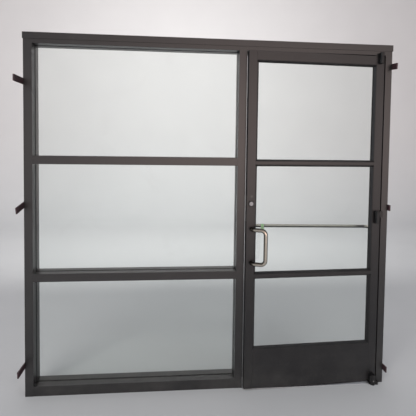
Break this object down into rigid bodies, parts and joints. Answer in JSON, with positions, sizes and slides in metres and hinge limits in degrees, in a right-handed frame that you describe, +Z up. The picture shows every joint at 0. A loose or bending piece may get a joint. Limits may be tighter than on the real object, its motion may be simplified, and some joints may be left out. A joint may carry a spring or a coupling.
{
  "type": "glazed aluminium door with sidelight frame",
  "caption": "Dark aluminium frame with a glazed sidelight beside a glass door that swings outwards on offset pivots, with a pull handle, a push bar and a hook-bolt lock.",
  "frame": {"origin": "on the floor, at the middle of the frame's width and of its depth", "axes": "+X along the frame's width, towards the hinge side; +Y indoors; +Z up"},
  "size_m": [2.342, 0.2437, 2.25],
  "materials": {
    "bronze_anodised": "dark bronze anodised extrusion, satin",
    "clear_glass": "clear float glass",
    "gasket_rubber": "matt black rubber",
    "brush_pile": "grey pile strip",
    "mill_aluminium": "plain aluminium as extruded",
    "plain_steel": "plated steel",
    "satin_chrome": "satin chrome",
    "brushed_bronze": "satin metal, slightly warm",
    "painted_casting": "dark bronze paint",
    "shim_plastic": "dull red-brown plastic"
  },
  "bodies": {
    "frame": {"left_jamb": "bronze_anodised", "centre_mullion": "bronze_anodised", "hinge_jamb": "bronze_anodised", "sidelight_sill": "bronze_anodised", "sidelight_head": "bronze_anodised", "door_head": "bronze_anodised", "lower_crossbar": "bronze_anodised", "upper_crossbar": "bronze_anodised", "head_receptor": "bronze_anodised", "joint_blocks": "mill_aluminium", "sidelight_lower_glass": "clear_glass", "sidelight_middle_glass": "clear_glass", "sidelight_upper_glass": "clear_glass", "sidelight_gaskets": "gasket_rubber", "sidelight_setting_blocks": "gasket_rubber", "lock_side_stop": "bronze_anodised", "hinge_side_stop": "bronze_anodised", "head_stop": "bronze_anodised", "brush_strips": "brush_pile", "threshold": "mill_aluminium", "top_pivot_frame_part": "painted_casting", "mid_pivot_frame_part": "painted_casting", "bottom_pivot_base": "painted_casting", "pivot_pins": "plain_steel", "strike_plate": "plain_steel", "wall_shims": "shim_plastic"},
    "door_leaf": {"lock_stile": "bronze_anodised", "hinge_stile": "bronze_anodised", "top_rail": "bronze_anodised", "bottom_rail": "bronze_anodised", "lower_muntin": "bronze_anodised", "upper_muntin": "bronze_anodised", "corner_blocks": "mill_aluminium", "tie_rods": "plain_steel", "tie_rod_nuts": "plain_steel", "door_lower_glass": "clear_glass", "door_middle_glass": "clear_glass", "door_upper_glass": "clear_glass", "door_gaskets": "gasket_rubber", "outer_glass_stops": "bronze_anodised", "inner_glass_stops": "bronze_anodised", "door_setting_blocks": "gasket_rubber", "top_pivot_leaf_part": "painted_casting", "mid_pivot_leaf_part": "painted_casting", "bottom_pivot_leaf_part": "painted_casting", "lock_case": "plain_steel", "lock_faceplate": "plain_steel", "bolt_pin": "plain_steel", "lock_cylinder": "satin_chrome", "cylinder_ring": "painted_casting", "thumb_rose": "painted_casting", "pull_handle": "brushed_bronze", "push_bar": "brushed_bronze", "handle_bolts": "plain_steel"},
    "hook_bolt": {"hook_bolt": "plain_steel"},
    "key_plug": {"key_plug": "satin_chrome"},
    "thumb_turn": {"thumb_turn": "painted_casting"}
  },
  "joints": [
    {"name": "door_swing", "type": "hinge", "parent": "frame", "child": "door_leaf", "pos_m": [1.08373, -0.0762, 1.1], "axis": [0, 0, 1], "range_deg": [-2.5, 87.5]},
    {"name": "bolt_throw", "type": "hinge", "parent": "door_leaf", "child": "hook_bolt", "pos_m": [0.23393, -0.07199, 1.15], "axis": [0.0436, -0.999, 0], "range_deg": [0, 90]},
    {"name": "key_turn", "type": "hinge", "parent": "door_leaf", "child": "key_plug", "pos_m": [0.2375, -0.09408, 1.217], "axis": [0.0436, -0.999, 0], "range_deg": [0, 360]},
    {"name": "thumb_turn", "type": "hinge", "parent": "door_leaf", "child": "thumb_turn", "pos_m": [0.23556, -0.04967, 1.217], "axis": [0.0436, -0.999, 0], "range_deg": [0, 360]}
  ],
  "couplings": [
    {"joint": "key_turn", "follows": "bolt_throw", "ratio": 4},
    {"joint": "thumb_turn", "follows": "bolt_throw", "ratio": 4}
  ]
}
